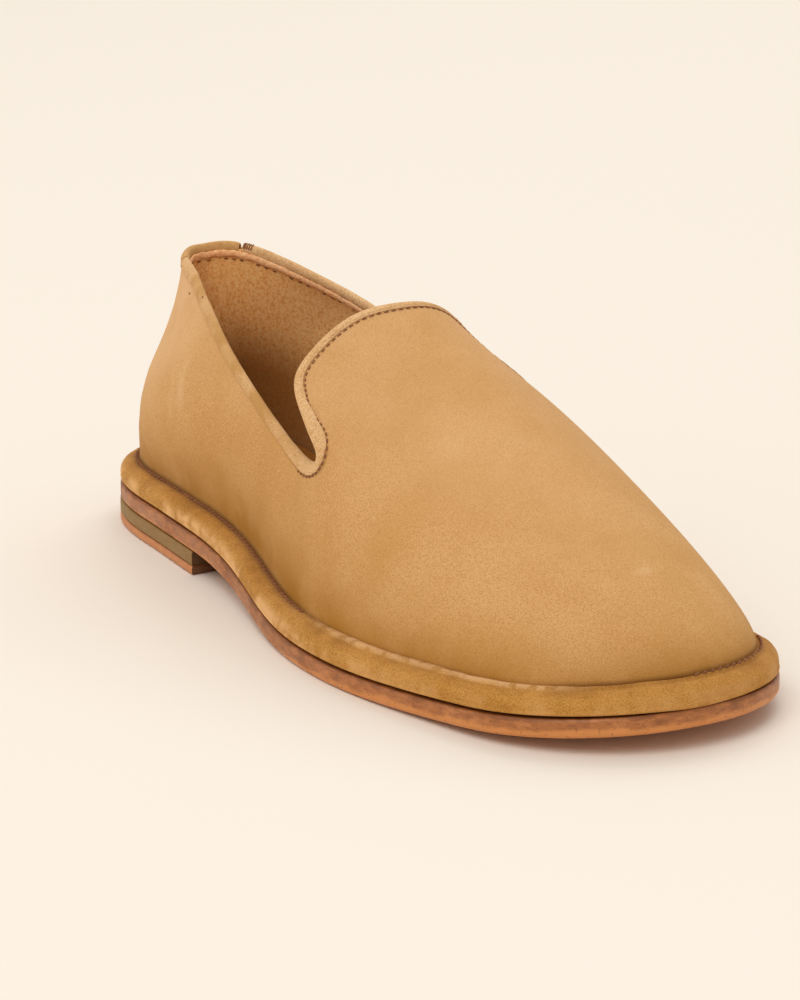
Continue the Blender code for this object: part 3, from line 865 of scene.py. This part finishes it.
def along_line(line, pitch):
    """Points at an even pitch along a closed line, with the way that it runs at each."""
    ends = np.vstack([line, line[:1]])
    run = np.concatenate([[0], np.cumsum(np.linalg.norm(np.diff(ends, axis=0), axis=1))])
    marks = np.arange(int(run[-1] / pitch)) * run[-1] / int(run[-1] / pitch)
    spots = np.column_stack([np.interp(marks, run, ends[:, axis]) for axis in range(3)])
    return spots, np.roll(spots, -1, axis=0) - np.roll(spots, 1, axis=0)


def below_rim(skin_tree, spot, along, depth):
    """The place and facing of a skin at a depth below a point of its rim."""
    spot, along = Vector(spot), Vector(along).normalized()
    facing = skin_tree.find_nearest(spot)[1]
    down = facing.cross(along).normalized()
    ways = sorted((down, -down), key=lambda way: skin_tree.find_nearest(spot + way * 2.5 * MM)[3])
    place, facing = skin_tree.find_nearest(spot + ways[0] * depth)[:2]
    return place, facing


rim_spots, rim_ways = along_line(inner_top_line, EDGE_PITCH)
shown = [index for index, spot in enumerate(rim_spots) if spot[0] < LINING_JOIN + LINING_OVERLAP]
gaps = [step for step in range(len(shown) - 1) if shown[step + 1] - shown[step] > 1]
if gaps:
    shown = shown[gaps[0] + 1:] + shown[:gaps[0] + 1]
bpy.ops.object.select_all(action="DESELECT")
last_row, last_column = len(EDGE_DEPTHS) - 1, len(shown) - 1
bpy.ops.mesh.primitive_grid_add(x_subdivisions=last_column, y_subdivisions=last_row, size=1)
lining_edge = bpy.context.object
lining_edge.name = "lining_edge"
grid = points_of(lining_edge)
columns = np.rint((grid[:, 0] + 0.5) * last_column).astype(int)
rows = np.rint((0.5 - grid[:, 1]) * last_row).astype(int)
for index, (column, row) in enumerate(zip(columns, rows)):
    number, depth = shown[column], EDGE_DEPTHS[row]
    if row == last_row:
        depth += EDGE_WANDER * math.sin(number * 1.9) * math.sin(number * 0.73 + 1.0)
    place, facing = below_rim(inner_skin, rim_spots[number], rim_ways[number], depth)
    grid[index] = place + facing * EDGE_STANDS[row]
lining_edge.location = (0, 0, 0)
set_points(lining_edge, grid)
select_only(lining_edge)
bpy.ops.object.mode_set(mode="EDIT")
bpy.ops.mesh.select_all(action="SELECT")
bpy.ops.mesh.normals_make_consistent(inside=False)
bpy.ops.object.mode_set(mode="OBJECT")
apply_modifier(lining_edge, "SOLIDIFY", thickness=EDGE_THICKNESS, offset=0.0)
apply_modifier(lining_edge, "SUBSURF", levels=2, render_levels=2)
frayed = bpy.data.textures.new("frayed edge", "CLOUDS")
frayed.noise_scale = FRAY_SIZE
apply_modifier(
    lining_edge,
    "DISPLACE",
    texture=frayed,
    texture_coords="LOCAL",
    strength=FRAY_DEPTH,
    mid_level=0.5,
)
raw_suede = suede(
    "raw lining edge", (255, 196, 140), (255, 220, 174), (230, 160, 106), grain=0.8, depth=0.0003
)[0]
fit_piece(lining_edge, raw_suede, "upper")

# Topline binding: a narrow strip of lighter suede folded over the edge of the collar and of
# the tongue. The seam along its lower edge draws it in against the upper.
RIM_PITCH = 0.8 * MM
STRIP_DEPTH = 2.5 * MM
STRIP_LENGTHENED = 0.6 * MM
SQUEEZE, SQUEEZE_AT_SEAM, SQUEEZE_WHERE_PRESSED = 0.28, 0.10, 0.08
CROWN_LOWERED = 0.25
FOOT_START, FOOT_RUN = 0.4 * MM, 0.8 * MM
binding = copy_of("topline_binding", "binding_strip")
apply_modifier(binding, "SUBSURF", levels=2, render_levels=2)
rim_line, rim_runs = along_line(top_line, RIM_PITCH)
inner_tree = nearest_among(along_line(inner_top_line, RIM_PITCH)[0])
partners = np.array([inner_tree.find(spot)[0] for spot in rim_line])
middles = (rim_line + partners) / 2
acrosses = (rim_line - partners) / np.linalg.norm(rim_line - partners, axis=1)[:, None]
middle_tree = nearest_among(middles)
downs = np.array(
    [
        below_rim(outer_skin, spot, run, STRIP_DEPTH)[0] - Vector(spot)
        for spot, run in zip(rim_line, rim_runs)
    ]
)
downs -= acrosses * np.sum(downs * acrosses, axis=1)[:, None]
downs /= np.linalg.norm(downs, axis=1)[:, None]
widths, presses = strip_shape(middles)


def draw_in(piece, reach):
    """Presses a folded strip flat on both sides of the edge it covers, thinnest at the seam."""
    strip = moulded(points_of(piece))
    for index, spot in enumerate(strip):
        number = middle_tree.find(spot)[1]
        out = (spot - middles[number]) @ acrosses[number]
        level = spot - middles[number] - acrosses[number] * out
        low, way = level @ downs[number], downs[number]
        if low > 0:
            low = np.linalg.norm(level)
            way = level / low
        foot = np.clip((low - FOOT_START) / FOOT_RUN, 0, 1)
        pressed = presses[number]
        squeeze = SQUEEZE + SQUEEZE_AT_SEAM * foot + SQUEEZE_WHERE_PRESSED * pressed
        strip[index] -= acrosses[number] * out * squeeze
        strip[index] += way * (reach + (widths[number] if out > 0 else 0.0)) * foot
        strip[index] -= way * min(low, 0.0) * CROWN_LOWERED * pressed
    set_points(piece, strip)


draw_in(binding, STRIP_LENGTHENED)
spots = points_of(binding)
paint(binding, "pressed", strip_shape(spots)[1] * (spots[:, 1] < 0))
strip_suede, tree, shader, nap, _ = suede(
    "binding suede", (222, 178, 126), (238, 200, 154), (190, 142, 88), grain=1.2, mottle=0.45
)
place = object_place(tree)
dull = between(tree, noise(tree, place, 90.0, 4.0), 0.38, 0.62, 0.4, 0.95)
dull = calculate(tree, "MULTIPLY", dull, painted(tree, "pressed"))
body = mix_colours(tree, dull, nap.outputs["Colour"], srgb(192, 144, 84))
tree.links.new(body, shader.inputs["Base Color"])
fit_piece(binding, strip_suede, "topline_binding", "topline_binding")

# Heel tab: a wider strip of the upper's suede, folded over the collar at the back and sewn
# down on both sides. The binding stops at each end of it.
tab = copy_of("heel_tab", "heel_tab_strip")
apply_modifier(tab, "SUBSURF", levels=2, render_levels=2)
draw_in(tab, 0.0)
tab_suede = suede("tab suede", (208, 160, 102), (226, 182, 128), (178, 130, 74))[0]
fit_piece(tab, tab_suede, "heel_tab", "heel_tab")

# Stitches: short runs of waxed red-brown thread, one stitch modelled once and laid along each
# seam: the crease over the midsole, the lower edge of the binding and its tacks at the heel tab,
# the lining's upper edge and zigzag, and the medial side seam.
CREASE_PITCH, SEAM_PITCH, LINING_PITCH, ZIGZAG_PITCH = 2.7 * MM, 2.3 * MM, 3.1 * MM, 1.7 * MM
CREASE_SIZE, CREASE_SLANT, ZIGZAG_SLANT = 1.35, 0.25, 0.8
CREASE_OUT, CREASE_OVER = 1.15 * MM, 0.45 * MM
LATERAL_CREASE_END, MEDIAL_CREASE_END, MEDIAL_CREASE_AGAIN = 0.022, 0.065, 0.120
THREAD_RADIUS, STITCH_LENGTH = 0.24 * MM, 0.8 * MM
STITCH_END, END_SIZE = 0.35 * MM, 0.7
SEAM_PAST_STRIP = 0.45 * MM
SEAM_STAND, TACK_STAND, MARK_STAND = 0.15 * MM, 0.05 * MM, 0.1 * MM
TAB_FRONT, COLLAR_FRONT, LOW_COLLAR_FRONT, LOW_COLLAR = -0.112, -0.0125, -0.002, 0.060
LINING_SEAM_DEPTH = 3.6 * MM
LINING_STAND, ZIGZAG_STAND, SIDE_STAND = 0.55 * MM, 0.6 * MM, 0.1 * MM
ZIGZAG_LOW, ZIGZAG_HIGH, ZIGZAG_BEHIND = 26 * MM, 78 * MM, 2.2 * MM
SIDE_LOW, SIDE_HIGH, SIDE_AHEAD = 24 * MM, 84 * MM, 1.6 * MM
KEEP_OFF_EDGE = 4 * MM
TACK_FROM, TACK_TO = 0.4 * MM, 3.6 * MM

bpy.ops.object.select_all(action="DESELECT")
bpy.ops.mesh.primitive_cylinder_add(vertices=6, radius=THREAD_RADIUS, depth=STITCH_LENGTH)
stitch = bpy.context.object
stitch.name = "stitch"
bpy.ops.object.mode_set(mode="EDIT")
bpy.ops.mesh.select_all(action="SELECT")
bpy.ops.transform.rotate(value=math.pi / 2, orient_axis="Y", center_override=(0, 0, 0))
bpy.ops.mesh.select_mode(type="FACE")
for way in (1, -1):
    bpy.ops.object.mode_set(mode="OBJECT")
    pick_none(stitch.data)
    for face in stitch.data.polygons:
        face.select = face.normal.x * way > 0.9
    bpy.ops.object.mode_set(mode="EDIT")
    bpy.ops.mesh.extrude_region_move(
        TRANSFORM_OT_translate={"value": (STITCH_END * way, 0, -THREAD_RADIUS)}
    )
    bpy.ops.transform.resize(value=(END_SIZE, END_SIZE, END_SIZE))
bpy.ops.object.mode_set(mode="OBJECT")


def sew(name, spots, ways, facings, size=1.0):
    """Copies of the stitch laid along a seam and joined into one piece."""
    copies = []
    for spot, way, facing in zip(spots, ways, facings):
        along = Vector(way).normalized()
        side = Vector(facing).cross(along).normalized()
        turn = Matrix((along, side, along.cross(side))).transposed().to_4x4()
        turn = turn @ Matrix.Scale(size, 4)
        turn.translation = Vector(spot)
        copy = bpy.data.objects.new(name, stitch.data.copy())
        copy.data.transform(turn)
        bpy.context.scene.collection.objects.link(copy)
        copies.append(copy)
    bpy.ops.object.select_all(action="DESELECT")
    for copy in copies:
        copy.select_set(True)
    bpy.context.view_layer.objects.active = copies[0]
    bpy.ops.object.join()
    return copies[0]


thread, tree, shader = new_material("waxed thread", Specular_IOR_Level=0.3)
place = object_place(tree)
twist = noise(tree, place, 2200.0, 2.0)
wax = noise(tree, place, 160.0, 2.0)
body = mix_colours(tree, between(tree, twist, 0.4, 0.65), srgb(148, 94, 58), srgb(110, 66, 38))
body = mix_colours(tree, between(tree, wax, 0.5, 0.75, 0.0, 0.5), body, srgb(172, 116, 76))
tree.links.new(body, shader.inputs["Base Color"])
tree.links.new(between(tree, wax, 0.3, 0.7, 0.5, 0.75), shader.inputs["Roughness"])
add_bump(tree, shader, twist, 0.4, 0.0001)

places, ways, facings = [], [], []
for spot, way in zip(*along_line(foot_line, CREASE_PITCH)):
    lateral = spot[1] < 0
    crease_end = LATERAL_CREASE_END if lateral else MEDIAL_CREASE_END
    if spot[0] >= crease_end and (lateral or spot[0] <= MEDIAL_CREASE_AGAIN):
        continue
    out = Vector((way[1], -way[0], 0)).normalized()
    if out.dot(Vector((spot[0] * 0.3, spot[1], 0))) < 0:
        out = -out
    top = sole_rise(spot[0]) + MIDSOLE_TOP + 0.6 * roll_height(spot[0])
    places.append(Vector((spot[0], spot[1], top + CREASE_OVER)) + out * CREASE_OUT)
    ways.append(Vector(way).normalized() + out * CREASE_SLANT)
    facings.append(out * 0.5 + Vector((0, 0, 1)))
crease_stitches = sew("crease_stitches", places, ways, facings, CREASE_SIZE)
# The midsole's suede reads how far it is from this crease, so its values are kept here
spots = points_of(midsole)
level_line = foot_line.copy()
level_line[:, 2] = sole_rise(level_line[:, 0]) + MIDSOLE_TOP
paint(midsole, "from_crease", distance_to(spots, level_line) / MM)
# How strong the painted crease shade is along the midsole; the lines below set where the painted
# ridge highlight and the patches of wear and highlight lie.
sunk = np.interp(spots[:, 0], (0.01, 0.045, 0.12, 0.135), (1.0, 0.1, 0.1, 0.7))
paint(midsole, "crease_strength", sunk)
# Where the painted highlight on the roll's crown lies: the lateral forepart.
ridge_highlight_share = np.interp(spots[:, 0], (0.025, 0.050, 0.122, 0.135), (0.0, 0.7, 0.7, 0.0))
paint(midsole, "painted_ridge_highlight", ridge_highlight_share * (spots[:, 1] < 0))
paint(midsole, "wear_and_highlight", np.interp(spots[:, 0], (0.03, 0.07), (0.9, 0.3)))
fit_piece(crease_stitches, thread, "covered_midsole")

places, ways, facings = [], [], []
strip_depths = np.zeros(len(middles))
for spot in points_of(binding):
    number = middle_tree.find(spot)[1]
    aside = spot - middles[number]
    out = aside @ acrosses[number]
    if out > 0 and aside @ downs[number] > 0:
        low = np.linalg.norm(aside - acrosses[number] * out)
        strip_depths[number] = max(strip_depths[number], low)
strip_depths = np.max([np.roll(strip_depths, step) for step in range(-2, 3)], axis=0)
strip_depths = np.mean([np.roll(strip_depths, step) for step in range(-2, 3)], axis=0)
seam_line = np.array(
    [
        below_rim(outer_skin, spot, run, depth + SEAM_PAST_STRIP)[0]
        for spot, run, depth in zip(rim_line, rim_runs, strip_depths)
    ]
)
seam_line = np.mean([np.roll(seam_line, step, axis=0) for step in range(-2, 3)], axis=0)
for spot, way in zip(*along_line(seam_line, SEAM_PITCH)):
    collar = spot[0] < COLLAR_FRONT or (spot[0] < LOW_COLLAR_FRONT and spot[2] < LOW_COLLAR)
    if spot[0] < TAB_FRONT or (spot[1] < 0 and collar):
        continue
    place, facing = outer_skin.find_nearest(Vector(spot))[:2]
    places.append(place + facing * SEAM_STAND)
    ways.append(way)
    facings.append(facing)
strip_skin = skin_of(points_of(binding), binding)
strip_end = min(spot[0] for spot in points_of(binding) if spot[1] > 0)
for middle, across, down in zip(middles, acrosses, downs):
    if middle[1] > 0 and TACK_FROM < middle[0] - strip_end < TACK_TO:
        for aim, way in ((-down, across), (-down - across, across - down)):
            place, facing = strip_skin.find_nearest(Vector(middle + aim * 3 * MM))[:2]
            places.append(place + facing * TACK_STAND)
            ways.append(Vector(way))
            facings.append(facing)
lateral_tacks = (
    (outer_skin, (-0.1014, -0.0137, 0.0803)),
    (strip_skin, (-0.0859, -0.0180, 0.0827)),
)
for skin_tree, mark in lateral_tacks:
    place, facing = skin_tree.find_nearest(Vector(mark))[:2]
    places.append(place + facing * MARK_STAND)
    ways.append(Vector((1, -0.4, 0)))
    facings.append(facing)
binding_stitches = sew("binding_stitches", places, ways, facings)
fit_piece(binding_stitches, thread, "topline_binding")

places, ways, facings = [], [], []
for count, (spot, way) in enumerate(zip(*along_line(inner_top_line, LINING_PITCH))):
    if spot[0] > LINING_JOIN or count % 4 == 3:
        continue
    place, facing = below_rim(inner_skin, spot, way, LINING_SEAM_DEPTH)
    places.append(place + facing * LINING_STAND)
    ways.append(way)
    facings.append(facing)
for side in (1, -1):
    for count, level in enumerate(np.arange(ZIGZAG_LOW, ZIGZAG_HIGH, ZIGZAG_PITCH)):
        behind = LINING_JOIN - ZIGZAG_BEHIND - LINING_SLOPE * (level - LINING_LEVEL)
        place, facing = inner_skin.ray_cast(Vector((behind, 0, level)), Vector((0, side, 0)))[:2]
        if place is None or distance_to([place], inner_top_line)[0] < KEEP_OFF_EDGE:
            continue
        slant = ZIGZAG_SLANT if count % 2 else -ZIGZAG_SLANT
        places.append(place + facing * ZIGZAG_STAND)
        ways.append(Vector((slant, 0, 1)))
        facings.append(facing)
lining_stitches = sew("lining_stitches", places, ways, facings)
fit_piece(lining_stitches, thread, "upper")

places, ways, facings = [], [], []
for level in np.arange(SIDE_LOW, SIDE_HIGH, SEAM_PITCH):
    start = Vector((SIDE_SEAM + SIDE_AHEAD, 0.09, level))
    place, facing = outer_skin.ray_cast(start, Vector((0, -1, 0)))[:2]
    if place is None or distance_to([place], top_line)[0] < KEEP_OFF_EDGE:
        continue
    places.append(place + facing * SIDE_STAND)
    ways.append(Vector((0, 0, 1)))
    facings.append(facing)
side_stitches = sew("side_seam_stitches", places, ways, facings)
fit_piece(side_stitches, thread, "upper")
bpy.data.objects.remove(stitch)
